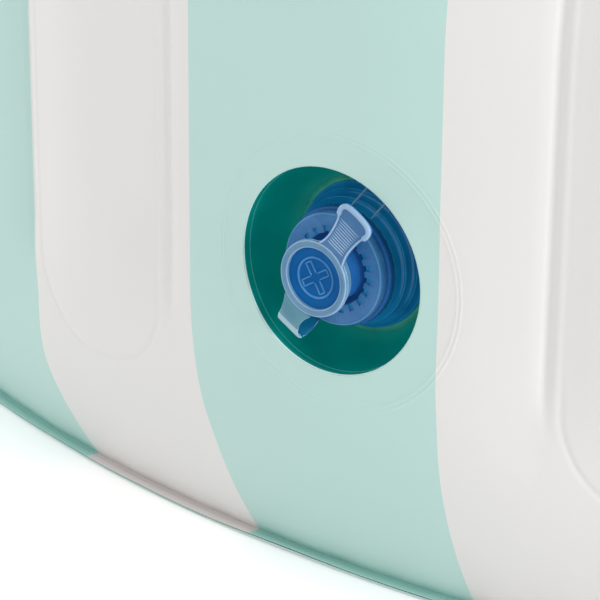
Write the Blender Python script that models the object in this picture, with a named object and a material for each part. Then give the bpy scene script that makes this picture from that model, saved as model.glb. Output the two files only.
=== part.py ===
"""Inflatable paddling pool: one tall ring chamber on a flat floor, with a screw-in air valve in a pocket.

The chamber is four welded films (outer wall, inner wall, crown and floor), held upright by inner beams.
Metres, +Z up. The origin is on the ground at the pool's centre, and the valve faces -Y.
"""
import math

import bmesh
import bpy
from mathutils import Matrix, Vector
from mathutils.bvhtree import BVHTree

# Driving dimensions of the ring
belly_radius = 0.765
chamber_depth = 0.200
seam_height = 0.362
crown_rise = 0.038
tuck = 0.0402
tuck_height = 0.1208
tuck_exponent = 2.0
film = 0.0006
fin_width = 0.007
fit_gap = 0.0003
merge_distance = 0.000003
overrun = 0.010
stripe_pairs = 21
stripe_turn = 0.0648
mint_share = 0.510

# Beams that tie the two walls together
beam_count = 18
beam_shift = 0.0051
beam_film = 0.0008
weld_place = 0.0418
weld_sink = 0.0105
groove_half_width = 0.0047
bay_bow = 0.0028
inner_panel_step = 0.0020
strip_margin = 0.003
strip_end_height = 0.0735
strip_end_inset = 0.002
groove_end_height = 0.118
seam_row_share = 0.45
crown_steps = 6
crown_columns = 54

# Pocket for the valve
valve_height = 0.147
mouth_radius = 0.042
weld_radius = 0.0555
pocket_depth = 0.027
pocket_floor_radius = 0.037
pocket_corner = 0.004
pocket_film = 0.0012

# Valve base, welded into the pocket floor
flange_radius = 0.0298
flange_thickness = 0.0016
step_radius = 0.0275
step_height = 0.0060
neck_radius = 0.0258
neck_top_radius = 0.0245
neck_height = 0.0150
bore_radius = 0.0180
shank_radius = 0.0195
shank_depth = 0.0100
lip_radius = 0.0160
lip_thickness = 0.0014

# Insert that screws into the base, and its sealing washer
seal_thickness = 0.0012
seal_wall = 0.0045
insert_rim_radius = 0.0240
insert_rim_thickness = 0.0016
thread_clearance = 0.0005
skirt_foot_height = 0.0020
skirt_wall = 0.0025
well_floor_height = 0.0080
well_floor_thickness = 0.0016
nozzle_radius = 0.0122
nozzle_wall = 0.0017
nozzle_top_height = 0.0310
cross_top_height = 0.0230
cross_depth = 0.0030
arm_width = 0.0022
hub_radius = 0.0036
hub_hole_radius = 0.0018

# Castellated grip ring on the insert
grip_radius = 0.0228
grip_top_height = 0.0225
notch_count = 20
notch_depth = 0.0028
grip_tip_radius = 0.0147
notch_share = 0.5

# Rubber flap under the cross
flap_radius = 0.0125
flap_thickness = 0.0011
stem_radius = 0.0013
stem_head_radius = 0.0026
stem_head_height = 0.0016
flap_travel = 0.0020

# Cap with its finger tab and strap
cap_radius = 0.0152
cap_rim_width = 0.0029
cap_rim_height = 0.0018
cap_edge_round = 0.0005
cap_plate = 0.0026
skirt_clearance = 0.0004
cap_skirt_wall = 0.0012
cap_skirt_length = 0.0018
plug_wall = 0.0012
plug_length = 0.0035
tab_angle = math.radians(58.5)
tab_reach = 0.0350
tab_thickness = 0.0015
tab_root_width = 0.0144
tab_waist_width = 0.0132
tab_end_width = 0.0184
tab_waist_share = 0.38
tab_flare_share = 0.82
tab_corner_steps = 3
tab_rib_count = 11
tab_rib_share = 0.72
tab_rib_width = 0.0005
tab_rib_height = 0.0004
strap_width = 0.0104
strap_film = 0.0011
strap_reach = 0.0288
strap_pivot_height = 0.0284
knuckle_radius = 0.0016

# Drain in the floor
drain_inset = 0.100
drain_flange_radius = 0.0220
drain_flange_thickness = 0.0012
drain_collar_radius = 0.0112
drain_bore_radius = 0.0090
drain_collar_height = 0.0075
drain_plug_head_radius = 0.0140
drain_plug_head = 0.0024
drain_plug_clearance = 0.0004
drain_plug_foot = 0.0014
drain_grip_length = 0.0180
drain_grip_width = 0.0030
drain_grip_height = 0.0060

turn_steps = 32
small_steps = 20

# Colours, linear
MINT = (0.43, 0.70, 0.63, 1)
CREAM = (0.80, 0.77, 0.73, 1)
POCKET_GREEN = (0.0, 0.13, 0.10, 1)
VALVE_BLUE = (0.03, 0.16, 0.40, 1)
FROSTED = (0.38, 0.52, 0.74, 1)
RUBBER = (0.05, 0.05, 0.06, 1)
CLEAR_WHITE = (0.72, 0.76, 0.76, 1)

# Derived places
inner_belly = belly_radius - chamber_depth
chamber_middle = belly_radius - chamber_depth / 2
drain_place = inner_belly - drain_inset
floor_top = film
wall_foot = floor_top + fit_gap
outer_seam = belly_radius - tuck
inner_seam = inner_belly + tuck
beam_pitch = 2 * math.pi / beam_count
beam_start = beam_pitch / 2 + beam_shift / belly_radius
skirt_radius = bore_radius - thread_clearance
rim_foot = neck_height + fit_gap + seal_thickness + fit_gap
rim_top = rim_foot + insert_rim_thickness
cap_foot = nozzle_top_height + fit_gap
cap_plate_top = cap_foot + cap_plate
cap_top = cap_plate_top + cap_rim_height


def clear_scene():
    for old in list(bpy.data.objects):
        bpy.data.objects.remove(old)


def plain_material(name, colour, roughness, metallic=0.0):
    material = bpy.data.materials.new(name)
    material.use_nodes = True
    shader = material.node_tree.nodes["Principled BSDF"]
    shader.inputs["Base Color"].default_value = colour
    shader.inputs["Roughness"].default_value = roughness
    shader.inputs["Metallic"].default_value = metallic
    return material


def striped_material(name):
    """Upright mint and cream stripes, told apart by the bearing round the pool's axis."""
    material = plain_material(name, CREAM, 0.42)
    nodes = material.node_tree.nodes
    links = material.node_tree.links
    place = nodes.new("ShaderNodeTexCoord")
    split = nodes.new("ShaderNodeSeparateXYZ")
    flip = nodes.new("ShaderNodeMath")
    flip.operation = "MULTIPLY"
    flip.inputs[1].default_value = -1
    bearing = nodes.new("ShaderNodeMath")
    bearing.operation = "ARCTAN2"
    turns = nodes.new("ShaderNodeMath")
    turns.operation = "MULTIPLY_ADD"
    turns.inputs[1].default_value = stripe_pairs / (2 * math.pi)
    turns.inputs[2].default_value = stripe_pairs + mint_share - stripe_turn * stripe_pairs / (2 * math.pi)
    part = nodes.new("ShaderNodeMath")
    part.operation = "FRACT"
    is_mint = nodes.new("ShaderNodeMath")
    is_mint.operation = "LESS_THAN"
    is_mint.inputs[1].default_value = mint_share
    mix = nodes.new("ShaderNodeMix")
    mix.data_type = "RGBA"
    mix.inputs["A"].default_value = CREAM
    mix.inputs["B"].default_value = MINT
    links.new(place.outputs["Object"], split.inputs[0])
    links.new(split.outputs["Y"], flip.inputs[0])
    links.new(split.outputs["X"], bearing.inputs[0])
    links.new(flip.outputs[0], bearing.inputs[1])
    links.new(bearing.outputs[0], turns.inputs[0])
    links.new(turns.outputs[0], part.inputs[0])
    links.new(part.outputs[0], is_mint.inputs[0])
    links.new(is_mint.outputs[0], mix.inputs["Factor"])
    links.new(mix.outputs["Result"], nodes["Principled BSDF"].inputs["Base Color"])
    return material


def add_object(name, bm, material, parent=None, smooth_angle=math.radians(30)):
    """Turn a bmesh into a named object with outward faces."""
    bmesh.ops.recalc_face_normals(bm, faces=bm.faces)
    mesh = bpy.data.meshes.new(name)
    bm.to_mesh(mesh)
    bm.free()
    mesh.shade_smooth()
    mesh.set_sharp_from_angle(angle=smooth_angle)
    made = bpy.data.objects.new(name, mesh)
    bpy.context.scene.collection.objects.link(made)
    if material:
        mesh.materials.append(material)
    made.parent = parent
    return made


def move_origin(made, point):
    """Put the object's origin at a point of its own frame, leaving the mesh where it is."""
    made.data.transform(Matrix.Translation(-Vector(point)))
    made.location = made.location + Vector(point)


def hide_as_tool(made):
    made.hide_render = True
    made.display_type = "WIRE"
    return made


def boolean(made, tool, operation):
    step = made.modifiers.new(operation.lower() + "_" + tool.name, "BOOLEAN")
    step.operation = operation
    step.object = hide_as_tool(tool)


def turned(section, steps):
    """Spin a closed section, or one that starts and ends on the axis, round local Z."""
    bm = bmesh.new()
    dots = [bm.verts.new((radius, 0, height)) for radius, height in section]
    on_axis = section[0][0] == 0
    pairs = zip(dots, dots[1:] if on_axis else dots[1:] + dots[:1])
    edges = [bm.edges.new(pair) for pair in pairs]
    bmesh.ops.spin(bm, geom=dots + edges, axis=(0, 0, 1), cent=(0, 0, 0), angle=2 * math.pi, steps=steps,
                   use_merge=True)
    bmesh.ops.remove_doubles(bm, verts=bm.verts, dist=merge_distance)
    return bm


def extruded(outline, low, high):
    """Raise a flat outline from one height to another."""
    bm = bmesh.new()
    base = bm.faces.new([bm.verts.new((x, y, low)) for x, y in outline])
    raised = bmesh.ops.extrude_face_region(bm, geom=[base])["geom"]
    tops = [item for item in raised if isinstance(item, bmesh.types.BMVert)]
    bmesh.ops.translate(bm, verts=tops, vec=(0, 0, high - low))
    return bm


def ring_of_sections(sections):
    """Join a closed round of closed sections, each a list of points, into one shell."""
    bm = bmesh.new()
    rings = [[bm.verts.new(point) for point in section] for section in sections]
    for here, there in zip(rings, rings[1:] + rings[:1]):
        for a, b, c, d in zip(here, there, there[1:] + there[:1], here[1:] + here[:1]):
            bm.faces.new((a, b, c, d))
    return bm


def at_bearing(bearing, radius, height):
    """A point at a bearing from the valve's side, counted towards +X."""
    return Vector((radius * math.sin(bearing), -radius * math.cos(bearing), height))


def wall_heights():
    """Rows of the walls: close at the seams, and one at each end of the strips and of their deep grooves."""
    low = [wall_foot + film]
    low.append(low[0] + seam_row_share * (strip_end_height - low[0]))
    low += [strip_end_height, groove_end_height]
    return low + [seam_height - height + wall_foot for height in reversed(low)]


def drawn_in(height):
    """How far the walls draw in towards each other at a height."""
    from_seam = min(height - wall_foot, seam_height - height)
    return tuck * max(0, 1 - from_seam / tuck_height) ** tuck_exponent


def held_share(height):
    """How fully the beams hold the walls in at a height: not at all where the strips end."""
    from_seam = min(height, seam_height - height + wall_foot)
    return min(1, max(0, (from_seam - strip_end_height) / (groove_end_height - strip_end_height)))


def wall_columns(side):
    """Columns round a wall as (bearing, sink): the outer one has a groove on both sides of each panel."""
    belly = belly_radius if side > 0 else inner_belly
    panel_half = weld_place - groove_half_width
    bay_edge = weld_place + groove_half_width
    pitch = beam_pitch * belly
    places = [(-panel_half, panel_sink(side)), (panel_half, panel_sink(side)), (pitch / 2, 0)]
    if side > 0:
        places += [(-weld_place, weld_sink), (weld_place, weld_sink)]
        places += [(bay_edge, bay_bow), (pitch - bay_edge, bay_bow)]
    places.sort()
    columns = []
    for beam in range(beam_count):
        centre = beam_start + beam * beam_pitch
        columns += [(centre + across / belly, sink) for across, sink in places]
    return columns


def panel_sink(side):
    """How far a panel lies in from the bays' middles."""
    return bay_bow if side > 0 else bay_bow + inner_panel_step


def wall_radius(side, sink, height):
    """Radius of a wall's face on the air side: side is 1 for the outer wall and -1 for the inner one."""
    belly = belly_radius if side > 0 else inner_belly
    return belly - side * (drawn_in(height) + sink * held_share(height))


def wall_section(side, bearing, sink):
    """One upright cut through a wall film, with a weld fin at its foot and its head."""
    heights = wall_heights()
    faces = [(wall_radius(side, sink, height), height) for height in heights]
    fin_tip = faces[0][0] + side * fin_width
    chamber = [(radius - side * film, height) for radius, height in faces]
    chamber[0] = (chamber[0][0], wall_foot)
    chamber[-1] = (chamber[-1][0], seam_height)
    loop = [(fin_tip, heights[0])] + faces + [(fin_tip, heights[-1]), (fin_tip, seam_height)]
    loop += list(reversed(chamber)) + [(fin_tip, wall_foot)]
    return [at_bearing(bearing, radius, height) for radius, height in loop]


def make_wall(name, side, material):
    """Film wall, its four-sided facets parted along the ridge so that it stays full between the columns."""
    bm = ring_of_sections([wall_section(side, bearing, sink) for bearing, sink in wall_columns(side)])
    bmesh.ops.triangulate(bm, faces=bm.faces, quad_method="LONG_EDGE")
    return add_object(name, bm, material)


def chamber_face_radius(side, sink, height):
    """Radius of a wall's chamber face along a column, straight between the wall's rows."""
    rows = wall_heights()
    above = next(i for i, row in enumerate(rows) if row >= height and i > 0)
    low, high = rows[above - 1:above + 1]
    share = (height - low) / (high - low)
    radius = (1 - share) * wall_radius(side, sink, low) + share * wall_radius(side, sink, high)
    return radius - side * film


def chamber_face(wall):
    """Finder of the outer wall's chamber face: world y at a place in the valve's bay."""
    corners = [face.vertices for face in wall.data.polygons]
    tree = BVHTree.FromPolygons([dot.co for dot in wall.data.vertices], corners)
    return lambda across, height: tree.ray_cast((across, -chamber_middle, height), (0, -1, 0))[0].y


def make_crown(material):
    """Crowned film that closes the chamber's top between the two upper seams."""
    middle = (outer_seam + inner_seam) / 2
    half = (outer_seam - inner_seam) / 2
    foot = seam_height + fit_gap
    rise = crown_rise - fit_gap
    arc_radius = (half ** 2 + rise ** 2) / (2 * rise)
    arc_half = math.asin(half / arc_radius) if rise < half else math.pi - math.asin(half / arc_radius)
    top = []
    under = []
    for step in range(crown_steps + 1):
        lean = arc_half * (1 - 2 * step / crown_steps)
        for radius, run in ((arc_radius, top), (arc_radius - film, under)):
            run.append((middle + radius * math.sin(lean), foot + rise - arc_radius + radius * math.cos(lean)))
    top[0] = (outer_seam, foot + film)
    top[-1] = (inner_seam, foot + film)
    under[0] = (outer_seam - film, foot)
    under[-1] = (inner_seam + film, foot)
    outer_tip = outer_seam + fin_width
    inner_tip = inner_seam - fin_width
    loop = [(outer_tip, foot), (outer_tip, foot + film)] + top
    loop += [(inner_tip, foot + film), (inner_tip, foot)] + list(reversed(under))
    sections = []
    for column in range(crown_columns):
        bearing = 2 * math.pi * column / crown_columns
        sections.append([at_bearing(bearing, radius, height) for radius, height in loop])
    return add_object("top_band", ring_of_sections(sections), material)


def make_floor(material):
    """One flat disc: the pool's floor and the underside of the ring, welded to the outer wall's foot fin."""
    radius = outer_seam + fin_width
    outline = []
    for column in range(crown_columns):
        point = at_bearing(2 * math.pi * column / crown_columns, radius, 0)
        outline.append((point.x, point.y))
    floor = add_object("floor_sheet", extruded(outline, 0, film), material)
    hole_radius = drain_collar_radius + fit_gap
    cutter = add_object("drain_hole", turned([(0, -overrun), (hole_radius, -overrun), (hole_radius, overrun),
                                              (0, overrun)], small_steps), None)
    cutter.location = (0, drain_place, 0)
    boolean(floor, cutter, "DIFFERENCE")
    return floor


def make_beam(number, material):
    """An I-beam of film: a wide strip welded inside each wall, with an upright web between them."""
    strip_low = strip_end_height + strip_end_inset
    strip_high = seam_height + wall_foot - strip_low
    rows = [height for height in wall_heights() if strip_low < height < strip_high]
    rows = [strip_low] + rows + [strip_high]
    wide = weld_place + strip_margin
    thin = beam_film / 2
    weld_turn = weld_place / belly_radius
    panel_turn = (weld_place - groove_half_width) / inner_belly
    sections = []
    for height in rows:
        outer_face = chamber_face_radius(1, weld_sink, height) * math.cos(weld_turn) - fit_gap
        inner_face = chamber_face_radius(-1, panel_sink(-1), height) * math.cos(panel_turn) + fit_gap
        outer_back = outer_face - beam_film
        inner_back = inner_face + beam_film
        half = [(wide, outer_face), (wide, outer_back), (thin, outer_back),
                (thin, inner_back), (wide, inner_back), (wide, inner_face)]
        loop = half + [(-across, radius) for across, radius in reversed(half)]
        sections.append([(across, chamber_middle - radius, height) for across, radius in loop])
    bm = bmesh.new()
    rings = [[bm.verts.new(point) for point in section] for section in sections]
    for here, there in zip(rings, rings[1:]):
        for a, b, c, d in zip(here, there, there[1:] + there[:1], here[1:] + here[:1]):
            bm.faces.new((a, b, c, d))
    bm.faces.new(rings[0])
    bm.faces.new(rings[-1])
    beam = add_object("beam_%02d" % (number + 1), bm, material)
    bearing = beam_start + number * beam_pitch
    beam.location = at_bearing(bearing, chamber_middle, 0)
    beam.rotation_euler = (0, 0, bearing)
    return beam


def make_valve_axis(face_y):
    """Empty at the pocket floor's centre: local Z points out of the wall, local Y points up."""
    wall_y = face_y(0, valve_height) - film
    axis = bpy.data.objects.new("valve_axis", None)
    bpy.context.scene.collection.objects.link(axis)
    axis.location = (0, wall_y + pocket_depth, valve_height)
    axis.rotation_euler = (math.pi / 2, 0, 0)
    return axis


def cut_mouth(wall, axis):
    top = pocket_depth + overrun
    bore = turned([(0, 0), (mouth_radius, 0), (mouth_radius, top), (0, top)], turn_steps)
    boolean(wall, add_object("mouth_cutter", bore, None, axis), "DIFFERENCE")


def make_pocket(axis, face_y, material):
    """Cup welded behind the outer wall: its flange follows the wall, its floor carries the valve base."""
    brim = pocket_depth - film - fit_gap
    slope = (mouth_radius - pocket_floor_radius) / brim
    low_radius = pocket_floor_radius + slope * pocket_corner
    corner = pocket_floor_radius - pocket_corner
    hole = shank_radius + fit_gap
    upper = [(weld_radius, brim), (mouth_radius, brim), (low_radius, pocket_corner), (corner, 0), (hole, 0)]
    lower = [(hole, -pocket_film), (corner + pocket_film / 2, -pocket_film),
             (low_radius + pocket_film, pocket_corner - pocket_film / 2),
             (mouth_radius + pocket_film, brim - pocket_film), (weld_radius, brim - pocket_film)]
    bm = turned(upper + lower, turn_steps)
    for dot in bm.verts:
        if dot.co.z > brim - pocket_film - fit_gap:
            dot.co.z += axis.location.y - face_y(dot.co.x, valve_height + dot.co.y) - fit_gap - brim
    return add_object("valve_pocket", bm, material, axis)


def make_base(axis, material):
    """Stepped neck on a wide flange, with a shank that reaches into the chamber."""
    foot = fit_gap
    section = [(bore_radius, neck_height), (neck_top_radius, neck_height), (neck_radius, step_height),
               (step_radius, step_height), (step_radius, foot + flange_thickness),
               (flange_radius, foot + flange_thickness), (flange_radius, foot), (shank_radius, foot),
               (shank_radius, -shank_depth), (lip_radius, -shank_depth),
               (lip_radius, lip_thickness - shank_depth), (bore_radius, lip_thickness - shank_depth)]
    return add_object("valve_base", turned(section, turn_steps), material, axis)


def make_seal(axis, material):
    foot = neck_height + fit_gap
    outer = neck_top_radius - fit_gap
    section = [(outer - seal_wall, foot), (outer, foot), (outer, foot + seal_thickness),
               (outer - seal_wall, foot + seal_thickness)]
    return add_object("valve_seal", turned(section, turn_steps), material, axis)


def make_insert(axis, material):
    """Threaded skirt with a rim, a ring-shaped well and a nozzle, and a cross inside the nozzle."""
    bore = nozzle_radius - nozzle_wall
    well = skirt_radius - skirt_wall
    section = [(bore, nozzle_top_height), (nozzle_radius, nozzle_top_height),
               (nozzle_radius, well_floor_height), (well, well_floor_height),
               (well, rim_top), (insert_rim_radius, rim_top),
               (insert_rim_radius, rim_foot), (skirt_radius, rim_foot), (skirt_radius, skirt_foot_height),
               (well, skirt_foot_height), (well, well_floor_height - well_floor_thickness),
               (bore, well_floor_height - well_floor_thickness)]
    insert = add_object("valve_insert", turned(section, turn_steps), material, axis)
    reach = bore + nozzle_wall / 2
    half = arm_width / 2
    corners = [(reach, -half), (reach, half), (half, half)]
    outline = []
    for quarter in range(4):
        turn = Matrix.Rotation(quarter * math.pi / 2, 2)
        outline += [tuple(turn @ Vector(corner)) for corner in corners]
    low = cross_top_height - cross_depth
    beyond = cross_top_height + overrun
    boolean(insert, add_object("cross_arms", extruded(outline, low, cross_top_height), None, axis), "UNION")
    hub = turned([(0, low - fit_gap), (hub_radius, low - fit_gap), (hub_radius, cross_top_height - fit_gap),
                  (0, cross_top_height - fit_gap)], small_steps)
    boolean(insert, add_object("cross_hub", hub, None, axis), "UNION")
    hole = turned([(0, low - overrun), (hub_hole_radius, low - overrun), (hub_hole_radius, beyond),
                   (0, beyond)], small_steps)
    boolean(insert, add_object("stem_hole", hole, None, axis), "DIFFERENCE")
    return insert


def make_grip_ring(axis, material):
    """Ring that is gripped to turn the insert, notched all round its inner edge."""
    foot = rim_top + fit_gap
    notch_radius = grip_tip_radius + notch_depth
    sections = []
    for notch in range(notch_count):
        start = 2 * math.pi * notch / notch_count
        tooth = 2 * math.pi * (1 - notch_share) / notch_count
        cut = 2 * math.pi * notch_share / notch_count
        edge = fit_gap / notch_radius
        corners = [(start, grip_tip_radius), (start + tooth, grip_tip_radius)]
        corners += [(start + tooth + edge, notch_radius), (start + tooth + cut - edge, notch_radius)]
        for bearing, inner in corners:
            side = Vector((math.cos(bearing), math.sin(bearing), 0))
            low = Vector((0, 0, foot))
            high = Vector((0, 0, grip_top_height))
            sections.append([side * inner + low, side * grip_radius + low,
                             side * grip_radius + high, side * inner + high])
    return add_object("valve_ring", ring_of_sections(sections), material, axis)


def make_flap(axis, material):
    """Rubber disc under the nozzle, with a stem up through the cross and a head that keeps it there."""
    seat = well_floor_height - well_floor_thickness - fit_gap
    head_foot = cross_top_height + flap_travel + fit_gap
    section = [(0, seat - flap_thickness), (flap_radius, seat - flap_thickness), (flap_radius, seat),
               (stem_radius, seat), (stem_radius, head_foot), (stem_head_radius, head_foot),
               (stem_radius, head_foot + stem_head_height), (0, head_foot + stem_head_height)]
    return add_object("valve_flap", turned(section, small_steps), material, axis)


def strap_frame(made):
    """Turn a piece that was drawn with its length along local X to lie along the strap's bearing."""
    made.rotation_euler = (0, 0, tab_angle)
    return made


def upright_plate(outline, width):
    """Plate drawn in the upright X-Z plane and centred on its width along Y."""
    bm = extruded(outline, -width / 2, width / 2)
    bmesh.ops.rotate(bm, verts=bm.verts, cent=(0, 0, 0), matrix=Matrix.Rotation(math.pi / 2, 3, "X"))
    return bm


def tab_outline():
    """Paddle: a straight root, a waist and a flared, rounded end."""
    root = cap_radius - cap_rim_width / 2
    length = tab_reach - root
    flare = root + tab_flare_share * length
    edge = [(root, tab_root_width / 2), (root + tab_waist_share * length, tab_waist_width / 2),
            (flare, tab_end_width / 2)]
    corner = tab_reach - flare
    for step in range(1, tab_corner_steps + 1):
        swing = step * math.pi / 2 / tab_corner_steps
        edge.append((flare + corner * math.sin(swing), tab_end_width / 2 - corner * (1 - math.cos(swing))))
    return edge + [(x, -y) for x, y in reversed(edge)]


def make_cap(axis, material):
    """Lid with a raised rim, a plug and a skirt about the nozzle wall, a ribbed tab and half the strap."""
    plate_radius = cap_radius - cap_rim_width
    rim_foot_height = cap_top - cap_rim_height - cap_edge_round
    skirt_in = nozzle_radius + skirt_clearance
    skirt_out = skirt_in + cap_skirt_wall
    skirt_low = nozzle_top_height - cap_skirt_length
    plug_out = nozzle_radius - nozzle_wall - skirt_clearance
    plug_in = plug_out - plug_wall
    plug_low = cap_foot - plug_length
    section = [(0, cap_plate_top), (plate_radius, cap_plate_top), (plate_radius + cap_edge_round, cap_top),
               (cap_radius - cap_edge_round, cap_top), (cap_radius, cap_top - cap_edge_round),
               (cap_radius, rim_foot_height), (skirt_out, rim_foot_height), (skirt_out, skirt_low),
               (skirt_in, skirt_low), (skirt_in, cap_foot), (plug_out, cap_foot),
               (plug_out - skirt_clearance, plug_low), (plug_in, plug_low),
               (plug_in, cap_foot), (0, cap_foot)]
    cap = add_object("valve_cap", turned(section, turn_steps), material, axis)
    tab_top = cap_top - cap_edge_round
    tab = add_object("cap_tab", extruded(tab_outline(), tab_top - tab_thickness, tab_top), None, axis)
    boolean(cap, strap_frame(tab), "UNION")
    boolean(cap, strap_frame(make_tab_ribs(axis, tab_top)), "UNION")
    over = strap_pivot_height + knuckle_radius + fit_gap
    rim_middle = (rim_foot_height + cap_top) / 2
    in_rim = cap_rim_width / 2 - cap_radius
    leg = [(in_rim, rim_middle), (-cap_radius - strap_film, rim_middle),
           (-strap_reach, over + strap_film), (-strap_reach - knuckle_radius, over + strap_film / 2),
           (-strap_reach - knuckle_radius, over), (-strap_reach, over),
           (-cap_radius - strap_film, rim_middle - strap_film), (in_rim, rim_middle - strap_film)]
    upper = add_object("strap_leg", upright_plate(leg, strap_width), None, axis)
    boolean(cap, strap_frame(upper), "UNION")
    swing = tab_angle + math.pi
    move_origin(cap, (strap_reach * math.cos(swing), strap_reach * math.sin(swing), strap_pivot_height))
    return cap


def make_tab_ribs(axis, tab_top):
    """Low ribs across the tab that stop a finger slipping."""
    first = cap_radius + tab_rib_width
    spread = (tab_reach - first) * tab_rib_share
    bm = bmesh.new()
    for rib in range(tab_rib_count):
        along = first + spread * rib / (tab_rib_count - 1)
        place = Matrix.Translation((along, 0, tab_top))
        size = Matrix.Diagonal((tab_rib_width, tab_waist_width * tab_rib_share, tab_rib_height * 2, 1))
        bmesh.ops.create_cube(bm, size=1, matrix=place @ size)
    return add_object("tab_ribs", bm, None, axis)


def make_strap(axis, material):
    """Lower half of the strap: it leaves the grip ring and ends in the roll of the fold."""
    root = Vector((-grip_radius - fit_gap - strap_film / 2, (rim_top + fit_gap + grip_top_height) / 2))
    pivot = Vector((-strap_reach, strap_pivot_height))
    along = (pivot - root).normalized()
    side = Vector((-along.y, along.x)) * strap_film / 2
    first = math.atan2(side.y - along.y * knuckle_radius, side.x - along.x * knuckle_radius)
    outline = [tuple(root - side), tuple(root + side)]
    sweep = 2 * math.pi - 2 * math.asin(strap_film / 2 / knuckle_radius)
    for step in range(small_steps // 2 + 1):
        swing = first - sweep * step / (small_steps // 2)
        outline.append(tuple(pivot + knuckle_radius * Vector((math.cos(swing), math.sin(swing)))))
    bm = upright_plate(outline, strap_width)
    return strap_frame(add_object("cap_strap", bm, material, axis))


def make_drain(material, plug_material):
    """Flanged seat through the floor near the inner wall, and the plug that is pushed into it."""
    foot = floor_top + fit_gap
    flange_top = foot + drain_flange_thickness
    seat = add_object("drain_seat", turned([
        (drain_bore_radius, drain_collar_height), (drain_collar_radius, drain_collar_height),
        (drain_collar_radius, flange_top), (drain_flange_radius, flange_top),
        (drain_flange_radius, foot), (drain_collar_radius, foot), (drain_collar_radius, 0),
        (drain_bore_radius, 0)], small_steps), material)
    seat.location = (0, drain_place, 0)
    head = drain_collar_height + fit_gap
    radius = drain_bore_radius - drain_plug_clearance
    plug = add_object("drain_plug", turned([
        (0, drain_plug_foot), (radius - drain_plug_clearance, drain_plug_foot), (radius, head),
        (drain_plug_head_radius, head), (drain_plug_head_radius, head + drain_plug_head),
        (0, head + drain_plug_head)], small_steps), plug_material)
    plug.location = (0, drain_place, 0)
    bm = bmesh.new()
    grip_tall = drain_plug_head + drain_grip_height - fit_gap
    middle = head + (drain_plug_head + drain_grip_height) / 2
    size = Matrix.Diagonal((drain_grip_length, drain_grip_width, grip_tall, 1))
    bmesh.ops.create_cube(bm, size=1, matrix=Matrix.Translation((0, 0, middle)) @ size)
    grip = add_object("plug_grip", bm, None)
    grip.location = (0, drain_place, 0)
    boolean(plug, grip, "UNION")


def main():
    clear_scene()
    stripes = striped_material("striped_film")
    outer = make_wall("outer_wall", 1, stripes)
    make_wall("inner_wall", -1, striped_material("striped_film_inner"))
    make_crown(striped_material("striped_film_crown"))
    make_floor(plain_material("mint_film", MINT, 0.45))
    for number in range(beam_count):
        make_beam(number, plain_material("beam_film", CLEAR_WHITE, 0.4))
    face_y = chamber_face(outer)
    axis = make_valve_axis(face_y)
    cut_mouth(outer, axis)
    make_pocket(axis, face_y, plain_material("green_film", POCKET_GREEN, 0.3))
    make_base(axis, plain_material("blue_vinyl", VALVE_BLUE, 0.25))
    make_seal(axis, plain_material("seal_rubber", RUBBER, 0.6))
    make_insert(axis, plain_material("blue_vinyl_insert", VALVE_BLUE, 0.25))
    make_grip_ring(axis, plain_material("frosted_vinyl_ring", FROSTED, 0.35))
    make_flap(axis, plain_material("flap_rubber", RUBBER, 0.5))
    make_strap(axis, plain_material("frosted_vinyl_strap", FROSTED, 0.35))
    make_cap(axis, plain_material("frosted_vinyl_cap", FROSTED, 0.35))
    seat_vinyl = plain_material("drain_vinyl", CLEAR_WHITE, 0.4)
    make_drain(seat_vinyl, plain_material("plug_vinyl", VALVE_BLUE, 0.35))


main()
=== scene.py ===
import math

import bmesh
import bpy
import numpy as np
from mathutils import Matrix, Vector


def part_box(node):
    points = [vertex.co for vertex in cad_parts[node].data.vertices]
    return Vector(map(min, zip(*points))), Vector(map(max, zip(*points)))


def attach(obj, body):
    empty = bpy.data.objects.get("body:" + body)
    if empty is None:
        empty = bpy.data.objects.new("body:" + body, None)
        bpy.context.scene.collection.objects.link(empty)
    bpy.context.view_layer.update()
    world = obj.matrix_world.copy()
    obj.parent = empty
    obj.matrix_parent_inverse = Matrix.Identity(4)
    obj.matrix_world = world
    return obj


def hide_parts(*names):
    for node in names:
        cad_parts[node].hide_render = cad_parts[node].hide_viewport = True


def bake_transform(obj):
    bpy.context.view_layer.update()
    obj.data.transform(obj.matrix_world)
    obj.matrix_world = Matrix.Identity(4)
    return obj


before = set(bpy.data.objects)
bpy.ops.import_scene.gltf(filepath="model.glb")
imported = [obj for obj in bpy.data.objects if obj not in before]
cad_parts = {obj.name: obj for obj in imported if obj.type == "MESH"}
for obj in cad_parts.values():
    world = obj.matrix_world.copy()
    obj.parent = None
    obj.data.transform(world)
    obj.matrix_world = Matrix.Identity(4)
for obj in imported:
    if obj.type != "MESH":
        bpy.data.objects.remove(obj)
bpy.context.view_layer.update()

# Air ring, in metres
belly = 0.765
inner_belly = 0.565
seam_height = 0.362
wall_foot = 0.0009
film = 0.0006
fin_width = 0.007
weld_gap = 0.0002
crease_draw = 0.0402
draw_height = 0.1208
draw_power = 2.0
crown_rise = 0.0377
beam_count = 18
beam_pitch = 2 * math.pi / beam_count
first_beam = beam_pitch / 2 + 0.0067
stripe_pairs = 21
stripe_turn = 0.0648
mint_share = 0.51

# Panels where the inner strips are welded to the walls, each a soft pad inside a groove
panel_half_width = 0.0374
panel_middle = (seam_height + wall_foot) / 2
panel_end = 0.0735
panel_swell = {1: 0.0033, -1: 0.0016}
groove_width = 0.0105
groove_place = 0.0068
groove_reach = 0.0042
groove_depth = 0.0013
groove_low = 0.096
groove_full = 0.13
pad_line_width = 0.0016
pad_line_start = 0.066
pad_line_full = 0.072
panel_rise = 0.036
bay_bow = 0.0034
stripe_draw = 0.0092

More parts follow.
